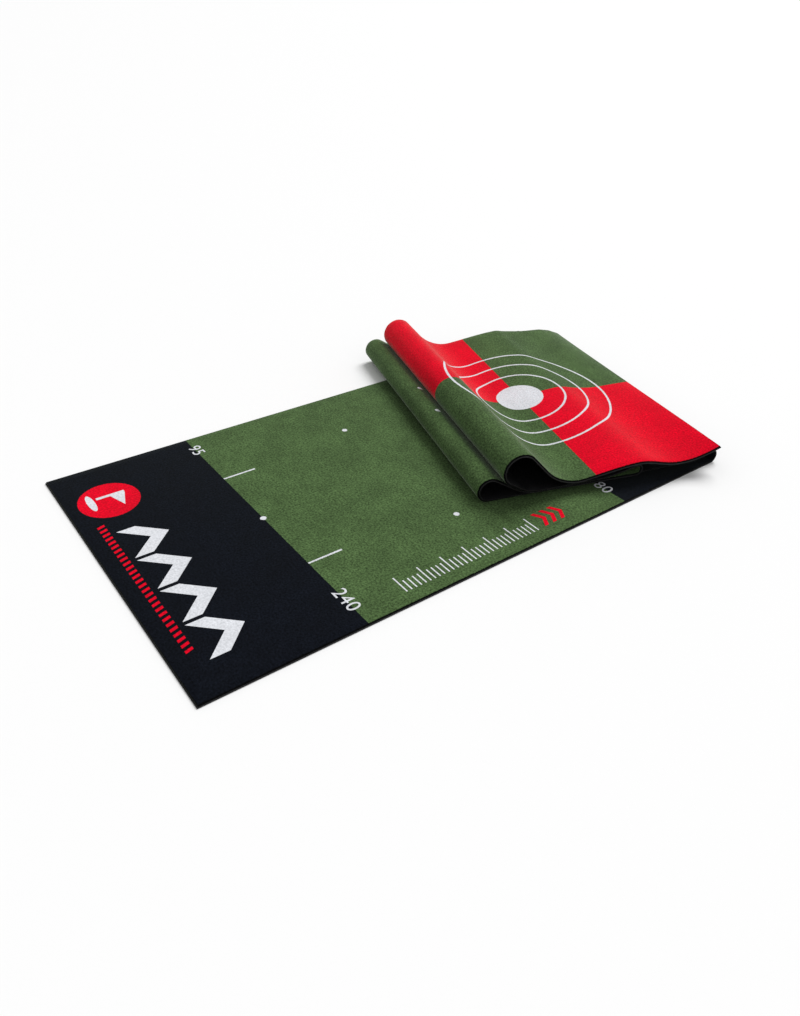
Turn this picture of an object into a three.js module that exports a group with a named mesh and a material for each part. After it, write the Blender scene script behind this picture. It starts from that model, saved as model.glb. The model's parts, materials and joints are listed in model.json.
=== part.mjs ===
// Practice putting mat, part unfolded: a printed pile sheet on a rubber backing.
// The tee end lies flat, and the target end is folded back over it in four more layers.
//
// Millimetres, +Z up. The origin is on the floor under the tee spot, the printed dot that all
// distances on the mat are measured from. +X runs to the target and +Y across the mat.
//
// A flexible sheet is modelled as rigid sections joined at straight bend lines. Every section is
// drawn in the sheet's own flat coordinates (x along the sheet, y across it, z up through it) and
// each bend turns the rest of the sheet, so that with every bend at zero the mat lies flat.

import * as THREE from 'three';

// ---- the sheet ----
const MAT_WIDTH = 670;
const TEE_MARGIN = 290; // tee end to tee line
const LANE_LENGTH = 2400; // tee line to target centre
const END_MARGIN = 280; // target centre to the free end
const BACKING_THICKNESS = 1.8;
const PILE_HEIGHT = 2.9;
const BOND_GAP = 0.3; // clearance that stands for the glue line
const BACKING_RIM = 1.5; // backing showing past the pile, all round

// ---- clearances ----
const CUT_GAP = 0.3; // between neighbouring sections of one layer
const STACK_GAP = 0.4; // between layers lying on each other

// ---- folds, in order from the tee end; a skewed fold line runs off square by its angle ----
const END_FOLD = { name: 'end_fold', inside: 'pile', bends: 4, strip: 9, skew: 7.9, slope: 16 };
const SMALL_LOOP = { name: 'small_loop', inside: 'backing', bends: 4, strip: 20.8, skew: -1, slope: 31 };
const INNER_FOLD = { name: 'inner_fold', inside: 'pile', bends: 4, strip: 6.8, skew: -1, slope: 13 };
const BIG_LOOP = { name: 'big_loop', inside: 'backing', bends: 6, strip: 21.5, skew: -1, slope: 47 };
const BIG_LOOP_LEAD = 60; // first strip of the big loop, which climbs the small loop's ramp
const LEAD_OVER_RAMP = 1; // degrees that it is steeper than that ramp

// ---- straight runs between the folds, along the front edge ----
const SECOND_RUN = 450;
const THIRD_RUN = 246;
const FOURTH_RUN_SHORT = 2; // the fourth run stops this much before the foot of that ramp

// ---- the last run, which lies in waves over what is under it ----
const LOOP_SHOULDER = 82; // steep part of the big loop's way down
const LOOP_FOOT_SLOPE = 22;
const CREST_PAST_FOLD = 2; // crest of the wave past the inner fold's bend
const FALL_LENGTH = 58;
const FALL_SLOPE = 10;
const DIP_LENGTH = 54;
const DIP_SLOPE = 2;
const DIP_SKEW = -4.5; // the last two bends lean towards the end fold beneath them
const END_LENGTH = 62;

// ---- worked out from the sizes above ----
const MAT_LENGTH = TEE_MARGIN + LANE_LENGTH + END_MARGIN;
const PILE_BOTTOM = BACKING_THICKNESS + BOND_GAP;
const SHEET_THICKNESS = PILE_BOTTOM + PILE_HEIGHT;

const CROWN_STEPS = 20; // points tested across the width where a run is lifted over a fold

const radians = THREE.MathUtils.degToRad;
const degrees = THREE.MathUtils.radToDeg;

const pileGreen = new THREE.MeshStandardMaterial({ color: 0x50653f, roughness: 0.95, metalness: 0 });
const pileRed = new THREE.MeshStandardMaterial({ color: 0xd7092c, roughness: 0.95, metalness: 0 });
const rubber = new THREE.MeshStandardMaterial({ color: 0x121214, roughness: 0.75, metalness: 0 });

// ---- the chain of sections ----
// Distances along the sheet are counted from the first bend of the end fold.
const mat = new THREE.Group();
const baseFlat = new THREE.Group();
mat.add(baseFlat);
const sections = [{ name: 'base_run', flat: baseFlat, material: pileGreen }];
let reach = 0;

// Ends the last section `advance` further on at a skewed line and turns what follows it.
// A positive turn folds the pile face inwards, about the top of the pile; a negative one folds
// the backing inwards, about its underside.
function addBend(name, advance, skew, turn, material = pileGreen) {
  reach += advance;
  const before = sections.at(-1);
  const line = { at: reach, skew };
  before.end = line;
  const pivot = new THREE.Group();
  pivot.name = `bend_to_${name}`;
  pivot.position.set(reach, 0, turn > 0 ? SHEET_THICKNESS : 0);
  const axis = new THREE.Vector3(-Math.sin(radians(skew)), -Math.cos(radians(skew)), 0);
  pivot.quaternion.setFromAxisAngle(axis, radians(turn));
  const flat = new THREE.Group();
  flat.position.copy(pivot.position).negate();
  pivot.add(flat);
  before.flat.add(pivot);
  sections.push({ name, flat, start: line, material });
}

// The bends of a fold, in order: how far each is from the one before, and its turn. They are equal,
// but for a fold with a lead: its first strip is longer and lies at the lead's own slope.
function foldBends(fold, lead) {
  const total = 180 + fold.slope;
  const firstTurn = lead ? lead.slope : total / fold.bends;
  const otherTurn = (total - firstTurn) / (fold.bends - 1);
  const bends = [{ advance: 0, turn: firstTurn }];
  for (let i = 1; i < fold.bends; i += 1) {
    bends.push({ advance: lead && i === 1 ? lead.length : fold.strip, turn: otherTurn });
  }
  return bends;
}

// How high a fold's strips bring its inner face above the run that it starts from.
function foldRise(fold, lead) {
  let rise = 0;
  let slope = 0;
  for (const { advance, turn } of foldBends(fold, lead)) {
    rise += advance * Math.sin(radians(slope));
    slope += turn;
  }
  return rise * Math.cos(radians(fold.skew));
}

// The length of a run that falls by `drop` at `slope`, along the sheet's front edge.
function fallLength(drop, slope, skew) {
  return drop / Math.sin(radians(slope)) / Math.cos(radians(skew));
}

// The little height that the inner face loses where a bend on the far face flattens the slope.
function thicknessDrop(fromSlope, toSlope) {
  return SHEET_THICKNESS * (Math.cos(radians(toSlope)) - Math.cos(radians(fromSlope)));
}

// Turns the sheet back over itself: the fold's strips, then a way down at its slope.
function addTurnBack(fold, advance, lead) {
  const side = fold.inside === 'pile' ? 1 : -1;
  foldBends(fold, lead).forEach((bend, i) => {
    const name = i === fold.bends - 1 ? 'ramp' : `strip_${i + 1}`;
    addBend(`${fold.name}_${name}`, i === 0 ? advance : bend.advance, fold.skew, side * bend.turn);
  });
}

// The same, ended by a bend that lays the next run flat on the layer below.
function addFold(fold, advance, nextRun) {
  addTurnBack(fold, advance);
  const side = fold.inside === 'pile' ? 1 : -1;
  const drop = foldRise(fold) - STACK_GAP - thicknessDrop(fold.slope, 0);
  addBend(nextRun, fallLength(drop, fold.slope, fold.skew), fold.skew, -side * fold.slope);
}

// A point on one of a section's lines, in the whole mat's frame.
function sectionPoint(name, line, y, z) {
  mat.updateMatrixWorld(true);
  const point = new THREE.Vector3(line.at + y * Math.tan(radians(line.skew)), y, z);
  return sections.find((section) => section.name === name).flat.localToWorld(point);
}

// Points on the outer face of a fold, along the edges of its strips, in the whole mat's frame.
function foldCrown(fold) {
  const crown = [];
  for (const section of sections.filter((one) => one.name.startsWith(fold.name))) {
    for (const line of [section.start, section.end]) {
      for (let step = 0; step <= CROWN_STEPS; step += 1) {
        crown.push(sectionPoint(section.name, line, MAT_WIDTH * step / CROWN_STEPS, 0));
      }
    }
  }
  return crown;
}

// A point's distance past a bend line and its height above the pile, as the last section lies.
function pastBend(point, at, skew) {
  const here = sections.at(-1).flat.worldToLocal(point.clone());
  const ahead = (here.x - at - here.y * Math.tan(radians(skew))) * Math.cos(radians(skew));
  return { ahead, above: here.z - SHEET_THICKNESS };
}

// The upward turn that lifts a run of the given length just clear of the points beneath it.
function liftOver(points, advance, skew, length) {
  let lift = 0;
  for (const point of points) {
    const { ahead, above } = pastBend(point, reach + advance, skew);
    const clear = SHEET_THICKNESS + STACK_GAP;
    const far = Math.hypot(ahead, above);
    if (ahead > 0 && ahead < length && far > clear) {
      lift = Math.max(lift, degrees(Math.atan2(above, ahead) + Math.asin(clear / far)));
    }
  }
  return lift;
}

addFold(END_FOLD, 0, 'second_run');
addFold(SMALL_LOOP, SECOND_RUN, 'third_run');
addFold(INNER_FOLD, THIRD_RUN, 'fourth_run');

// The fourth run ends just before the foot of the small loop's ramp, and the big loop climbs it.
const footLine = sections.find((section) => section.name === 'third_run').start;
const footCorners = [0, MAT_WIDTH].map((y) => sectionPoint('third_run', footLine, y, SHEET_THICKNESS));
const toFoot = Math.min(...footCorners.map((corner) => pastBend(corner, reach, BIG_LOOP.skew).ahead));
const lead = { length: BIG_LOOP_LEAD, slope: SMALL_LOOP.slope + LEAD_OVER_RAMP };
addTurnBack(BIG_LOOP, toFoot - FOURTH_RUN_SHORT, lead);

// Down from the big loop in two slopes, to a valley that rests on the fourth run.
const shoulderTurn = BIG_LOOP.slope - LOOP_FOOT_SLOPE;
const shoulderDrop = LOOP_SHOULDER * Math.cos(radians(BIG_LOOP.skew)) * Math.sin(radians(BIG_LOOP.slope))
  + thicknessDrop(BIG_LOOP.slope, LOOP_FOOT_SLOPE);
const footDrop = foldRise(BIG_LOOP, lead) - shoulderDrop - STACK_GAP - thicknessDrop(LOOP_FOOT_SLOPE, 0);
const footLength = fallLength(footDrop, LOOP_FOOT_SLOPE, BIG_LOOP.skew);
addBend('big_loop_foot', LOOP_SHOULDER, BIG_LOOP.skew, shoulderTurn);

// Up over the inner fold, down beyond it, and up again over the end fold.
const innerCrown = foldCrown(INNER_FOLD);
const valley = reach + footLength;
const footToFold = Math.max(...innerCrown.map((point) => pastBend(point, valley, BIG_LOOP.skew).ahead));
const riseLength = footToFold + CREST_PAST_FOLD;
const valleyTurn = Math.max(liftOver(innerCrown, footLength, BIG_LOOP.skew, riseLength), LOOP_FOOT_SLOPE);
const riseSlope = valleyTurn - LOOP_FOOT_SLOPE;
addBend('last_run_rise', footLength, BIG_LOOP.skew, valleyTurn, pileRed);
addBend('last_run_fall', riseLength, BIG_LOOP.skew, -(riseSlope + FALL_SLOPE), pileRed);

const endCrown = foldCrown(END_FOLD);
const dipLift = liftOver(endCrown, FALL_LENGTH, DIP_SKEW, DIP_LENGTH);
addBend('last_run_dip', FALL_LENGTH, DIP_SKEW, Math.max(FALL_SLOPE - DIP_SLOPE, dipLift), pileRed);
const endLift = liftOver(endCrown, DIP_LENGTH, DIP_SKEW, END_LENGTH + MAT_WIDTH);
addBend('last_run_end', DIP_LENGTH, DIP_SKEW, Math.max(DIP_SLOPE, endLift), pileRed);

// The base run is what the folded stack leaves of the mat's length.
const stackLength = reach + END_LENGTH;
const baseLength = MAT_LENGTH - stackLength;
sections[0].start = { at: -baseLength, skew: 0 };
sections.at(-1).end = { at: stackLength, skew: 0 };

// ---- the two layers of each section ----
// The outline of one layer between two lines, set in from the sheet's own edges by `inset`.
function layerOutline(section, inset) {
  const first = section === sections[0];
  const last = section === sections.at(-1);
  const startInset = first ? inset : CUT_GAP / 2 / Math.cos(radians(section.start.skew));
  const endInset = last ? inset : CUT_GAP / 2 / Math.cos(radians(section.end.skew));
  const startAt = (y) => section.start.at + y * Math.tan(radians(section.start.skew)) + startInset;
  const endAt = (y) => section.end.at + y * Math.tan(radians(section.end.skew)) - endInset;
  const front = inset;
  const back = MAT_WIDTH - inset;
  return new THREE.Shape([
    new THREE.Vector2(startAt(front), front),
    new THREE.Vector2(endAt(front), front),
    new THREE.Vector2(endAt(back), back),
    new THREE.Vector2(startAt(back), back),
  ]);
}

function addLayer(section, layer, inset, bottom, thickness, material) {
  const outline = layerOutline(section, inset);
  const solid = new THREE.ExtrudeGeometry(outline, { depth: thickness, bevelEnabled: false });
  const mesh = new THREE.Mesh(solid, material);
  mesh.name = `${section.name}_${layer}`;
  mesh.position.z = bottom;
  section.flat.add(mesh);
}

for (const section of sections) {
  addLayer(section, 'backing', 0, 0, BACKING_THICKNESS, rubber);
  addLayer(section, 'pile', BACKING_RIM, PILE_BOTTOM, PILE_HEIGHT, section.material);
}

// The tee spot, on the middle of the tee line, goes to the origin.
mat.position.set(baseLength - TEE_MARGIN, -MAT_WIDTH / 2, 0);

export default mat;
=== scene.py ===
"""Looks of the practice putting mat: one pile sheet bonded to one rubber backing, part unfolded.

The folded shape is read from the CAD sections. Each is a flat stretch of the sheet, and here the
sheet runs through them as one smooth surface. Everything printed on the mat is placed in the flat
mat's own coordinates: u along it from the tee end, v across it from the front edge, in metres.
"""

import json
import math

import bmesh
import bpy
import numpy as np
from mathutils import Matrix, Vector


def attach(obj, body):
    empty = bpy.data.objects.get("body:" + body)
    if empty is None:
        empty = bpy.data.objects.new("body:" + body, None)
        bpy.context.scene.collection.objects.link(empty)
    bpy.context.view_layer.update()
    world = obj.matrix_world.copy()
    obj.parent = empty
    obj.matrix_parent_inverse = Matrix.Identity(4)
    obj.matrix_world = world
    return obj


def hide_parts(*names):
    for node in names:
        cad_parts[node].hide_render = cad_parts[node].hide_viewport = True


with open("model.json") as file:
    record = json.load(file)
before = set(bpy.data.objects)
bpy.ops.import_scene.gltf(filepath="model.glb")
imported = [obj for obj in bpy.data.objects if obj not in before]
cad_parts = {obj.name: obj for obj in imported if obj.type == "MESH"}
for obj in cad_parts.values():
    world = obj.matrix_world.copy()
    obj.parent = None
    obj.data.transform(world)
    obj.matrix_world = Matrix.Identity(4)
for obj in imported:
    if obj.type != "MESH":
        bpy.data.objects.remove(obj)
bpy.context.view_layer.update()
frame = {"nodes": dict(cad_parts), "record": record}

# ---- the sheet, as the CAD has it, but for the pile's foot, which here lies on the rubber ----
PILE_TOP = 0.005
PILE_FOOT = 0.00185
RUBBER_TOP = 0.0018
CUT_GAP = 0.0003  # between neighbouring CAD sections
PILE_INSET = 0.0015  # rubber showing past the pile

# ---- how the smooth sheet is drawn ----
BEND_REACH = 0.024  # the most that a bend may curve on each side of its line
BEND_SHARE = 0.95  # the most of a half section that a bend curves
SWELL, SWELL_AT, SWELL_REACH = 0.0095, 2.770, 0.100  # height, middle and spread, along the mat
CURL, CURL_LENGTH = 0.024, 0.115  # of the free end's front corner, upwards
DROOP, DROOP_LENGTH = 0.022, 0.075  # of its back corner, downwards
CORNER_POWER = 1.5  # how much of the curl and the droop stays near its own edge
BEND_STEPS = 10
RUN_STEP = 0.03
ACROSS_STEPS = 40
PILE_ROUND = 0.0016
RUBBER_ROUND = 0.0004
ROUND_SHARES = (0.0, 0.15, 0.45, 1.0)  # rows of points over a rounded edge
SAME_ROW = 1e-6
SMOOTH_ANGLE = math.radians(50)

# ---- the print ----
TEE = 0.290
MIDDLE = 0.335
TARGET = (TEE + 2.400, MIDDLE)
TARGET_BLOCK = 0.280  # from the target's centre to where its quarters start
DISC_RADIUS = 0.052
RING_RADII = (0.100, 0.150, 0.200)
RING_HALF = 0.0023  # half of a ring's line
MARK_SPACING = 0.600
TEE_DOT, LANE_DOT = 0.0058, 0.0056  # radii
LANE_DOTS = ((0.593, 0.186), (1.193, 0.120), (1.774, 0.054))  # u, and how far from the middle
TICK_LENGTH = 0.068
TICK_ASIDE = (0.1541, 0.1579)  # both edges of a tick's line, from the middle
BADGE, BADGE_RADIUS = (0.080, 0.544), 0.057


def unit(vector):
    return vector / np.linalg.norm(vector)


def corners(node):
    """The corners of a CAD section's layer, in the row frame."""
    points = np.array([v.co for v in frame["nodes"][node].data.vertices], float)
    return np.unique(points.round(5), axis=0)


def broad_normal(node, outward):
    """The normal of a CAD section's broad faces, on the side that outward points to."""
    face = max(frame["nodes"][node].data.polygons, key=lambda polygon: polygon.area)
    normal = np.array(face.normal, float)
    return normal * np.sign(normal @ outward)


def nearest_first(pair, point):
    """Two corners, the one nearest to a point first."""
    return sorted(pair, key=lambda corner: np.linalg.norm(corner - point))


# ---- the sections, unrolled one after the other ----
subparts = [part["node"] for part in frame["record"]["subparts"]]
names = [node.removesuffix("_backing") for node in subparts if node.endswith("_backing")]
sections = []
last_front = last_back = np.array([-10.0, 0.0, 0.0])  # anywhere before the tee end
across = np.array([0.0, 1.0, 0.0])
start = -CUT_GAP
for name in names:
    backing, pile = corners(name + "_backing"), corners(name + "_pile")
    up = broad_normal(name + "_backing", pile.mean(0) - backing.mean(0))
    under = backing[np.argsort(backing @ up)[:4]]
    by_side = under[np.argsort(under @ across)]
    start_front, end_front = nearest_first(by_side[:2], last_front)
    start_back, end_back = nearest_first(by_side[2:], last_back)
    along = unit(end_front - start_front)
    normal = unit(np.cross(along, end_back - start_front))
    across = np.cross(normal, along)
    start += CUT_GAP
    width = (start_back - start_front) @ across
    lean = (start_back - start_front) @ along / width
    axes = {"along": along, "across": across, "normal": normal}
    sections.append({"corner": start_front, "start": start, "lean": lean, **axes})
    start += np.linalg.norm(end_front - start_front)
    last_front, last_back = end_front, end_back
WIDTH, LENGTH = width, start


def place(k, u, v, z):
    """Where a point of the flat mat comes to lie if it belongs to section k."""
    s = sections[k]
    return (
        s["corner"]
        + np.multiply.outer(u - s["start"], s["along"])
        + np.multiply.outer(v, s["across"])
        + np.multiply.outer(z, s["normal"])
    )


def bend_lines(v):
    """u of each bend line at each v."""
    return np.array([s["start"] - CUT_GAP / 2 + s["lean"] * v for s in sections[1:]])


def reaches(v):
    """The bend lines, and how far each bend curves the sheet on both sides of its line, at each v."""
    lines = bend_lines(v)
    half = np.diff(np.vstack([lines, np.full_like(v, LENGTH)]), axis=0) / 2
    before = np.vstack([np.full_like(v, BEND_REACH), half[:-1]])
    return lines, np.minimum(np.minimum(before, half) * BEND_SHARE, BEND_REACH)


def slack(u, v):
    """How far the loose top run lies above the CAD's flat stretches: a swell, and a twisted end."""
    swell = SWELL * np.exp(-(((u - SWELL_AT) / SWELL_REACH) ** 2))
    on_curl = np.clip(1 - (LENGTH - u) / CURL_LENGTH, 0, 1)
    on_droop = np.clip(1 - (LENGTH - u) / DROOP_LENGTH, 0, 1)
    curl = CURL * (1 - v / WIDTH) ** CORNER_POWER * on_curl**2
    droop = DROOP * (v / WIDTH) ** CORNER_POWER * on_droop**2
    return swell + curl - droop


def lay(u, v, z):
    """Where points of the flat mat come to lie in the folded one, which is smooth over its bends."""
    u, v, z = (np.asarray(x, float).ravel() for x in np.broadcast_arrays(u, v, z))
    lines, reach = reaches(v)
    section = (u > lines).sum(0)
    point = np.zeros((len(u), 3))
    for k in range(len(sections)):
        on = section == k
        point[on] = place(k, u[on], v[on], z[on])
    for k in range(len(sections) - 1):
        on = np.abs(u - lines[k]) < reach[k]
        line, near, across = lines[k][on], reach[k][on], v[on]
        pile_inside = sections[k + 1]["along"] @ sections[k]["normal"] > 0
        level = np.full(on.sum(), PILE_TOP if pile_inside else 0.0)
        t = ((u[on] - line) / near / 2 + 0.5)[:, None]
        a = place(k, line - near, across, level)
        b = (place(k, line, across, level) + place(k + 1, line, across, level)) / 2
        c = place(k + 1, line + near, across, level)
        tangent = (b - a) * (1 - t) + (c - b) * t
        edge = sections[k]["across"] + sections[k]["along"] * sections[k + 1]["lean"]
        normal = np.cross(tangent, edge)
        normal /= np.linalg.norm(normal, axis=1)[:, None]
        curve = (1 - t) ** 2 * a + 2 * t * (1 - t) * b + t**2 * c
        point[on] = curve + (z[on] - level)[:, None] * normal
    point[:, 2] += slack(u, v)
    return point


def rows_along(v, inset, rounding):
    """Rows of points across the sheet, from end to end: u of each at each v."""
    lines, reach = reaches(v)
    near = [np.full_like(v, inset + rounding * share) for share in ROUND_SHARES]
    far = [LENGTH - row for row in reversed(near)]
    rows, reached = near, near[-1]
    for k in range(len(sections)):
        until = far[0] if k == len(lines) else lines[k] - reach[k]
        steps = max(1, math.ceil((until - reached).max() / RUN_STEP))
        rows += [reached + (until - reached) * i / steps for i in range(1, steps + 1)]
        if k < len(lines):
            rows += [until + 2 * reach[k] * i / BEND_STEPS for i in range(1, BEND_STEPS + 1)]
            reached = rows[-1]
    rows += far[1:]
    kept = [rows[0]]
    for row in rows[1:]:
        if (row - kept[-1]).max() > SAME_ROW:
            kept.append(row)
    return np.array(kept)


def add_to_scene(obj):
    bpy.context.scene.collection.objects.link(obj)
    return obj


def add_object(name, points, faces, flat):
    """A mesh object with a UV map that holds each point's place on the flat mat, in metres."""
    mesh = bpy.data.meshes.new(name)
    mesh.from_pydata([tuple(p) for p in points], [], faces)
    uv = mesh.uv_layers.new(name="flat")
    corner_points = np.zeros(len(mesh.loops), int)
    mesh.loops.foreach_get("vertex_index", corner_points)
    uv.uv.foreach_set("vector", flat[corner_points].astype(np.float32).ravel())
    mesh.validate()
    mesh.shade_smooth()
    mesh.set_sharp_from_angle(angle=SMOOTH_ANGLE)
    return add_to_scene(bpy.data.objects.new(name, mesh))


def layer(name, foot, top, inset, rounding):
    """One layer of the mat as a closed body, with its upper edges rounded over."""
    edge = inset + rounding * np.array(ROUND_SHARES)
    between_edges = np.linspace(edge[-1], WIDTH - edge[-1], ACROSS_STEPS + 1)[1:-1]
    v = np.hstack([edge, between_edges, WIDTH - edge[::-1]])
    upper = rows_along(v, inset, rounding)
    count, wide = upper.shape
    u = np.hstack([upper, upper[:, ::-1]])
    v = np.tile(np.hstack([v, v[::-1]]), (count, 1))
    to_edge = np.minimum.reduce([u - inset, LENGTH - inset - u, v - inset, WIDTH - inset - v])
    short = rounding - np.clip(to_edge, 0, rounding)
    z = top - rounding + np.sqrt(np.clip(rounding**2 - short**2, 0, None))
    z[:, wide:] = foot
    points = lay(u, v, z)
    loop = 2 * wide
    faces = []
    for i in range(count - 1):
        for j in range(loop):
            k = (j + 1) % loop
            faces.append((i * loop + j, (i + 1) * loop + j, (i + 1) * loop + k, i * loop + k))
    for i, turn in ((0, 1), (count - 1, -1)):
        for j in range(wide - 1):
            quad = (i * loop + j, i * loop + j + 1, i * loop + loop - 2 - j, i * loop + loop - 1 - j)
            faces.append(quad[::turn])
    return add_object(name, points, faces, np.stack([u.ravel(), v.ravel()], 1))


# ---- materials ----
class Surface:
    """A material whose nodes are put together as expressions."""

    def __init__(self, name):
        self.material = bpy.data.materials.new(name)
        self.material.use_nodes = True
        self.tree = self.material.node_tree
        self.shader = self.tree.nodes["Principled BSDF"]
        self.flat = self.node("UVMap", uv_map="flat").outputs[0]

    def node(self, kind, **settings):
        made = self.tree.nodes.new("ShaderNode" + kind)
        for key, value in settings.items():
            setattr(made, key, value)
        return made

    def put(self, socket, value):
        if isinstance(value, bpy.types.NodeSocket):
            self.tree.links.new(value, socket)
        else:
            socket.default_value = value

    def math(self, operation, *values, clamp=False):
        made = self.node("Math", operation=operation, use_clamp=clamp)
        for socket, value in zip(made.inputs, values):
            self.put(socket, value)
        return made.outputs[0]

    def noise(self, vector, scale, detail=2.0, roughness=0.5, output=0):
        made = self.node("TexNoise", noise_dimensions="2D")
        self.put(made.inputs["Vector"], vector)
        self.put(made.inputs["Scale"], scale)
        self.put(made.inputs["Detail"], detail)
        self.put(made.inputs["Roughness"], roughness)
        return made.outputs[output]

    def span(self, value, low, high, to_low, to_high):
        made = self.node("MapRange")
        for socket, number in zip(made.inputs, (value, low, high, to_low, to_high)):
            self.put(socket, number)
        return made.outputs[0]

    def blend(self, share, under, over, mode="MIX"):
        made = self.node("Mix", data_type="RGBA", blend_type=mode)
        self.put(made.inputs[0], share)
        self.put(made.inputs[6], under)
        self.put(made.inputs[7], over)
        return made.outputs[2]


def colour(r, g, b):
    """An sRGB colour from 0 to 255, as the linear one that shaders take."""
    shares = (c / 255 for c in (r, g, b))
    return *(c / 12.92 if c < 0.0405 else ((c + 0.055) / 1.055) ** 2.4 for c in shares), 1.0


GREEN, BLACK = colour(72, 94, 57), colour(13, 16, 23)
RED, WHITE = colour(216, 2, 34), colour(212, 214, 219)
DARK_EDGE_BAND = colour(9, 9, 11)  # near-black, for a band along the pile's edge, over its rounded shoulder
RUBBER, DUSTY_RUBBER = colour(12, 12, 14), colour(27, 27, 29)
CALM_ON_WHITE, CALM_ON_RED = 0.7, 0.45  # how much less the tufts show there
PRINT_SOFTNESS = 0.0009  # how far a printed edge bleeds between tufts
PRINT_WANDER = 0.0011  # how far it wanders with the tufts
CUT_EDGE_WIDTH = 0.0011
MOULD_PITCH = 0.0024  # of the rubber's cross-hatch


def step(s, value):
    """1 where value is above zero, with the soft edge of print on pile."""
    return s.math("MULTIPLY_ADD", value, 1 / PRINT_SOFTNESS, 0.5, clamp=True)


def between(s, value, low, high):
    above, below = s.math("SUBTRACT", value, low), s.math("SUBTRACT", high, value)
    return s.math("MINIMUM", step(s, above), step(s, below))


def any_of(s, masks):
    """1 where any of the masks is."""
    total = masks[0]
    for mask in masks[1:]:
        total = s.math("MAXIMUM", total, mask)
    return total


def apart(s, a, b):
    return s.math("ABSOLUTE", s.math("SUBTRACT", a, b))


def distance(s, u, v, centre):
    du, dv = s.math("SUBTRACT", u, centre[0]), s.math("SUBTRACT", v, centre[1])
    return s.math("SQRT", s.math("ADD", s.math("MULTIPLY", du, du), s.math("MULTIPLY", dv, dv)))


def disc(s, u, v, centre, radius):
    return step(s, s.math("SUBTRACT", radius, distance(s, u, v, centre)))


def printed(s):
    """The colour that the pile is printed with at each place on the flat mat, and how calm it is."""
    wander = s.node("VectorMath", operation="MULTIPLY_ADD")
    s.put(wander.inputs[0], s.noise(s.flat, 520, 1, output=1))
    wander.inputs[1].default_value = (2 * PRINT_WANDER, 2 * PRINT_WANDER, 0)
    wander.inputs[2].default_value = (-PRINT_WANDER, -PRINT_WANDER, 0)
    moved = s.node("VectorMath", operation="ADD")
    s.put(moved.inputs[0], wander.outputs[0])
    s.put(moved.inputs[1], s.flat)
    split = s.node("SeparateXYZ")
    s.put(split.inputs[0], moved.outputs[0])
    u, v = split.outputs[0], split.outputs[1]

    band_start = TEE + MARK_SPACING
    black = any_of(s, [between(s, u, -1, TEE), between(s, u, band_start, band_start + MARK_SPACING)])
    tee_side = step(s, s.math("SUBTRACT", TARGET[0], u))
    front = step(s, s.math("SUBTRACT", TARGET[1], v))
    in_block = step(s, s.math("SUBTRACT", u, TARGET[0] - TARGET_BLOCK))
    quarters = s.math("MULTIPLY", apart(s, tee_side, front), in_block)
    red = any_of(s, [quarters, disc(s, u, v, BADGE, BADGE_RADIUS)])

    from_target, from_middle = distance(s, u, v, TARGET), apart(s, v, MIDDLE)
    white = [step(s, s.math("SUBTRACT", DISC_RADIUS, from_target))]
    for radius in RING_RADII:
        white.append(step(s, s.math("SUBTRACT", RING_HALF, apart(s, from_target, radius))))
    white.append(disc(s, u, v, (TEE, MIDDLE), TEE_DOT))
    for spot in LANE_DOTS:
        white.append(disc(s, u, from_middle, spot, LANE_DOT))
    on_tick = between(s, from_middle, *TICK_ASIDE)
    white.append(s.math("MINIMUM", between(s, u, TEE, TEE + TICK_LENGTH), on_tick))
    white = any_of(s, white)

    from_end = s.math("MINIMUM", u, s.math("SUBTRACT", LENGTH, u))
    from_side = s.math("MINIMUM", v, s.math("SUBTRACT", WIDTH, v))
    from_edge = s.math("MINIMUM", from_end, from_side)
    # a near-black band along the pile's edge, over its rounded shoulder
    cut_edge = step(s, s.math("SUBTRACT", PILE_INSET + CUT_EDGE_WIDTH, from_edge))

    dye = s.blend(red, s.blend(black, GREEN, BLACK), RED)
    dye = s.blend(cut_edge, s.blend(white, dye, WHITE), DARK_EDGE_BAND)
    calm_white = s.math("MULTIPLY", white, CALM_ON_WHITE)
    return dye, s.math("MAXIMUM", calm_white, s.math("MULTIPLY", red, CALM_ON_RED))


def add_bump(s, height, strength, depth):
    bump = s.node("Bump")
    bump.inputs["Strength"].default_value = strength
    bump.inputs["Distance"].default_value = depth
    s.put(bump.inputs["Height"], height)
    s.put(s.shader.inputs["Normal"], bump.outputs[0])


def pile_material(name, dye=None, calm=None):
    """Short cut pile: tufts, patches where it leans another way, and a velvet sheen."""
    s = Surface(name)
    tufts = s.noise(s.flat, 260, 3, 0.75)
    patches = s.noise(s.flat, 13, 2, 0.6)
    streaks = s.noise(s.flat, 55, 3, 0.6)
    by_tuft, by_patch = s.span(tufts, 0.25, 0.75, 0.28, 1.72), s.span(patches, 0.3, 0.7, 0.88, 1.12)
    shade = s.math("MULTIPLY", by_tuft, by_patch)
    shade = s.math("MULTIPLY", shade, s.span(streaks, 0.3, 0.7, 0.9, 1.1))
    if dye is None:
        dye, calm = printed(s)
    shade = s.math("MULTIPLY_ADD", s.math("SUBTRACT", shade, 1.0), s.math("SUBTRACT", 1.0, calm), 1.0)
    grey = s.node("CombineColor")
    for socket in grey.inputs:
        s.put(socket, shade)
    s.put(s.shader.inputs["Base Color"], s.blend(1.0, dye, grey.outputs[0], "MULTIPLY"))
    add_bump(s, tufts, 0.5, 0.0011)
    s.put(s.shader.inputs["Roughness"], s.span(patches, 0.3, 0.7, 0.86, 0.96))
    s.shader.inputs["Specular IOR Level"].default_value = 0.03
    s.shader.inputs["Sheen Weight"].default_value = 0.5
    s.shader.inputs["Sheen Roughness"].default_value = 0.28
    s.shader.inputs["Sheen Tint"].default_value = (0.74, 0.84, 0.70, 1)
    return s.material


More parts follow.
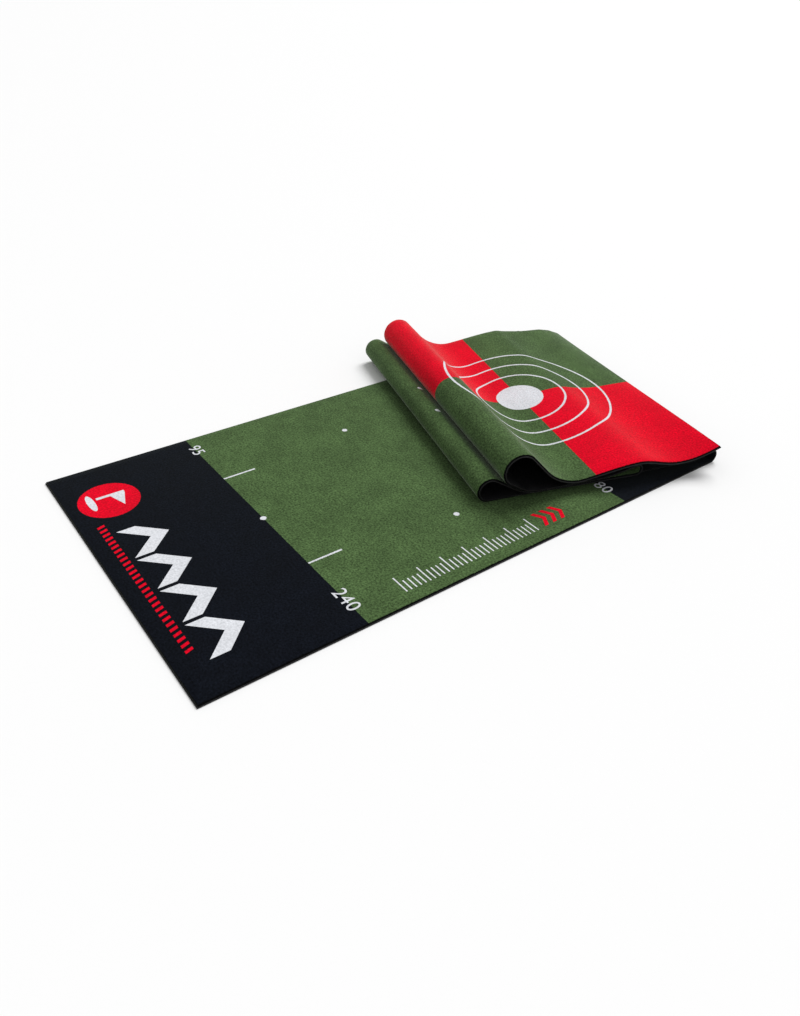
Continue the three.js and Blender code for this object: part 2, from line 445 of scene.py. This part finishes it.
def rubber_material(name):
    """Black rubber with the fine cross-hatch of its mould, a little dusty."""
    s = Surface(name)
    split = s.node("SeparateXYZ")
    s.put(split.inputs[0], s.flat)
    turns = 2 * math.pi / MOULD_PITCH
    ribs = [s.math("SINE", s.math("MULTIPLY", axis, turns)) for axis in split.outputs[:2]]
    dust = s.noise(s.flat, 35, 4, 0.6)
    grain = s.noise(s.flat, 900, 2, 0.6)
    hatch = s.math("MULTIPLY", s.math("MULTIPLY", *ribs), 0.5)
    dusty = s.span(dust, 0.35, 0.75, 0.0, 1.0)
    s.put(s.shader.inputs["Base Color"], s.blend(dusty, RUBBER, DUSTY_RUBBER))
    s.put(s.shader.inputs["Roughness"], s.span(dust, 0.3, 0.7, 0.58, 0.78))
    add_bump(s, s.math("ADD", hatch, grain), 0.4, 0.0004)
    s.shader.inputs["Specular IOR Level"].default_value = 0.35
    return s.material


# ---- marks that are too fine for the print expression, each a thin inlay in the pile ----
MARK_RISE = 0.00018
MARK_SINK = 0.0008
MARK_CELL = 0.006  # marks are cut this small, so that they follow the pile
SAME_POINT = 1e-6
DIGIT_SHARE = 0.73  # of the font's size
DIGIT_SPACING = 1.06


def inlay(name, outlines, material):
    """Flat closed shapes, given as outlines on the flat mat, pressed into the pile."""
    curve = bpy.data.curves.new(name, "CURVE")
    curve.dimensions = "2D"
    curve.fill_mode = "BOTH"
    for outline in outlines:
        spline = curve.splines.new("POLY")
        spline.points.add(len(outline) - 1)
        for point, (u, v) in zip(spline.points, outline):
            point.co = (u, v, 0, 1)
        spline.use_cyclic_u = True
    return pressed(name, curve, Matrix.Identity(4), material)


def pressed(name, curve, matrix, material):
    """The filled shape of a flat curve or text, laid on the mat as a thin closed body."""
    source = add_to_scene(bpy.data.objects.new(name + "_outline", curve))
    bpy.context.view_layer.update()
    evaluated = source.evaluated_get(bpy.context.evaluated_depsgraph_get())
    filled = bpy.data.meshes.new_from_object(evaluated)
    bpy.data.objects.remove(source)
    filled.transform(matrix)
    cut = bmesh.new()
    cut.from_mesh(filled)
    for axis in (Vector((1, 0, 0)), Vector((0, 1, 0))):
        spread = [v.co.dot(axis) for v in cut.verts]
        for i in range(math.ceil(min(spread) / MARK_CELL), math.ceil(max(spread) / MARK_CELL)):
            every = cut.verts[:] + cut.edges[:] + cut.faces[:]
            plane = {"plane_co": axis * i * MARK_CELL, "plane_no": axis}
            bmesh.ops.bisect_plane(cut, geom=every, dist=SAME_POINT, **plane)
    bmesh.ops.remove_doubles(cut, verts=cut.verts[:], dist=SAME_POINT)
    cut.to_mesh(filled)
    cut.free()
    flat = np.array([v.co[:2] for v in filled.vertices])
    count = len(flat)
    faces, edges = [], []
    for polygon in filled.polygons:
        ring = list(polygon.vertices)
        a, b, c = (flat[i] for i in ring[:3])
        if (b[0] - a[0]) * (c[1] - a[1]) < (b[1] - a[1]) * (c[0] - a[0]):
            ring.reverse()
        faces += [tuple(ring), tuple(i + count for i in reversed(ring))]
        edges += zip(ring, ring[1:] + ring[:1])
    shared = set(edges)
    for i, j in edges:
        if (j, i) not in shared:
            faces.append((j, i, i + count, j + count))
    both = np.vstack([flat, flat])
    z = np.repeat([PILE_TOP + MARK_RISE, PILE_TOP - MARK_SINK], count)
    obj = add_object(name, lay(both[:, 0], both[:, 1], z), faces, both)
    obj.data.materials.append(material)
    return obj


def number(text, u, v, height, name, material):
    """A number that reads towards the front edge, foot towards the tee; u, v is its middle."""
    curve = bpy.data.curves.new(name, "FONT")
    curve.body = text
    curve.align_x = "CENTER"
    curve.align_y = "CENTER"
    curve.size = height / DIGIT_SHARE
    curve.space_character = DIGIT_SPACING
    turn = Matrix.Translation((u, v, 0)) @ Matrix.Rotation(-math.pi / 2, 4, "Z")
    return pressed(name, curve, turn, material)


def rectangle(u, v, long, wide, slant=0.0):
    """A bar from u, v, as long along the mat and as wide towards the front edge."""
    return [(u, v), (u, v - wide), (u + long, v - wide + slant), (u + long, v + slant)]


def arrow(u, v, long, wide, thick):
    """An arrowhead pointing at the target, open behind."""
    tip, notch = (u + long, v - wide / 2), (u + long - thick, v - wide / 2)
    return [(u, v), notch, (u, v - wide), (u + thick, v - wide), tip, (u + thick, v)]


# ---- the sheets ----
pile = layer("pile_sheet", PILE_FOOT, PILE_TOP, PILE_INSET, PILE_ROUND)
backing = layer("rubber_backing", 0.0, RUBBER_TOP, 0.0, RUBBER_ROUND)
pile.data.materials.append(pile_material("printed_pile"))
backing.data.materials.append(rubber_material("black_rubber"))

# ---- the marks: distances to the target on both edges, the tee end's signs, a scale on the lane ----
white_pile = pile_material("white_pile", WHITE, CALM_ON_WHITE)
red_pile = pile_material("red_pile", RED, CALM_ON_RED)
DIGIT_HEIGHT = 0.0265
CM_V, INCH_V = 0.067, 0.618
marks = []
for i, (centimetres, inches) in enumerate(((240, 95), (180, 71), (120, 47), (60, 24))):
    at = TEE + 0.001 + i * MARK_SPACING
    for label, v, unit_name in ((centimetres, CM_V, "cm"), (inches, INCH_V, "in")):
        mark = f"mark_{label}_{unit_name}"
        marks.append(number(str(label), at, v, DIGIT_HEIGHT, mark, white_pile))

tee_arrows = [arrow(0.054, 0.440 - 0.0945 * i, 0.080, 0.0865, 0.034) for i in range(4)]
tee_bars = [rectangle(0.030, 0.470 - 0.0135 * i, 0.014, 0.0062, 0.004) for i in range(28)]
flag = [(0.060, 0.562), (0.060, 0.555), (0.086, 0.555), (0.100, 0.515), (0.114, 0.555), (0.114, 0.562)]
round_cup = np.linspace(0, 2 * math.pi, 32, endpoint=False)
cup = [(0.048 + 0.007 * math.sin(a), 0.550 + 0.028 * math.cos(a)) for a in round_cup]
SCALE_START, SCALE_STEP, SCALE_LINE = 0.384, 0.010, 0.0025
SCALE_FOOT, LONG_LINE, SHORT_LINE = 0.028, 0.040, 0.026
lane_scale = []
for i in range(31):
    tall = SHORT_LINE if i % 5 else LONG_LINE
    left = SCALE_START + SCALE_STEP * i
    lane_scale.append(rectangle(left, SCALE_FOOT + tall, SCALE_LINE, tall))
lane_arrows = [arrow(0.704 + 0.021 * i, 0.070, 0.021, 0.040, 0.009) for i in range(3)]
marks += [
    inlay("tee_arrows", tee_arrows, white_pile),
    inlay("tee_red_bars", tee_bars, red_pile),
    inlay("badge_flag", [flag, cup], white_pile),
    inlay("lane_scale", lane_scale, white_pile),
    inlay("lane_arrows", lane_arrows, red_pile),
]

for piece in (pile, backing, *marks):
    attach(piece, "root")
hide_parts(*[name + "_pile" for name in names])
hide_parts(*[name + "_backing" for name in names])

# ---- floor, light and camera ----
FLOOR_HALF, FLOOR_Z = 30, -0.0003
square = [(x * FLOOR_HALF, y * FLOOR_HALF, FLOOR_Z) for x, y in ((-1, -1), (1, -1), (1, 1), (-1, 1))]
floor_mesh = bpy.data.meshes.new("floor")
floor_mesh.from_pydata(square, [], [(0, 1, 2, 3)])
pale = bpy.data.materials.new("pale_floor")
pale.use_nodes = True
pale_shader = pale.node_tree.nodes["Principled BSDF"]
pale_shader.inputs["Base Color"].default_value = (0.87, 0.87, 0.87, 1)
pale_shader.inputs["Roughness"].default_value = 0.9
floor_mesh.materials.append(pale)
add_to_scene(bpy.data.objects.new("floor", floor_mesh))

world = bpy.data.worlds.new("studio")
bpy.context.scene.world = world
world.use_nodes = True
sky = world.node_tree.nodes["Background"]
sky.inputs["Color"].default_value = (1, 1, 1, 1)
sky.inputs["Strength"].default_value = 0.5

key = add_to_scene(bpy.data.objects.new("key", bpy.data.lights.new("key", "SUN")))
key.data.angle = math.radians(35)
key.data.energy = 2.6
key.rotation_euler = Vector((-1.2, -0.6, -1.6)).to_track_quat("-Z", "Y").to_euler()

# The camera is where the photograph was taken from, found from the mat's edges and marks.
YAW, PITCH, ROLL = math.radians(53.519), math.radians(34.910), math.radians(-1.658)
level = math.cos(PITCH)
forward = Vector((math.cos(YAW) * level, math.sin(YAW) * level, -math.sin(PITCH)))
level_right = Vector((math.sin(YAW), -math.cos(YAW), 0))
level_down = forward.cross(level_right)
right = level_right * math.cos(ROLL) + level_down * math.sin(ROLL)
down = level_down * math.cos(ROLL) - level_right * math.sin(ROLL)
turned = Matrix((right, -down, -forward)).transposed().to_4x4()
camera = add_to_scene(bpy.data.objects.new("camera", bpy.data.cameras.new("camera")))
camera.data.sensor_width = 36
camera.data.lens = 28.401
camera.data.shift_x = 0.0260
camera.data.shift_y = -0.0047
camera.matrix_world = Matrix.Translation((-0.5398, -1.0664, 0.8674)) @ turned
bpy.context.scene.camera = camera
bpy.context.scene.view_settings.view_transform = "Standard"
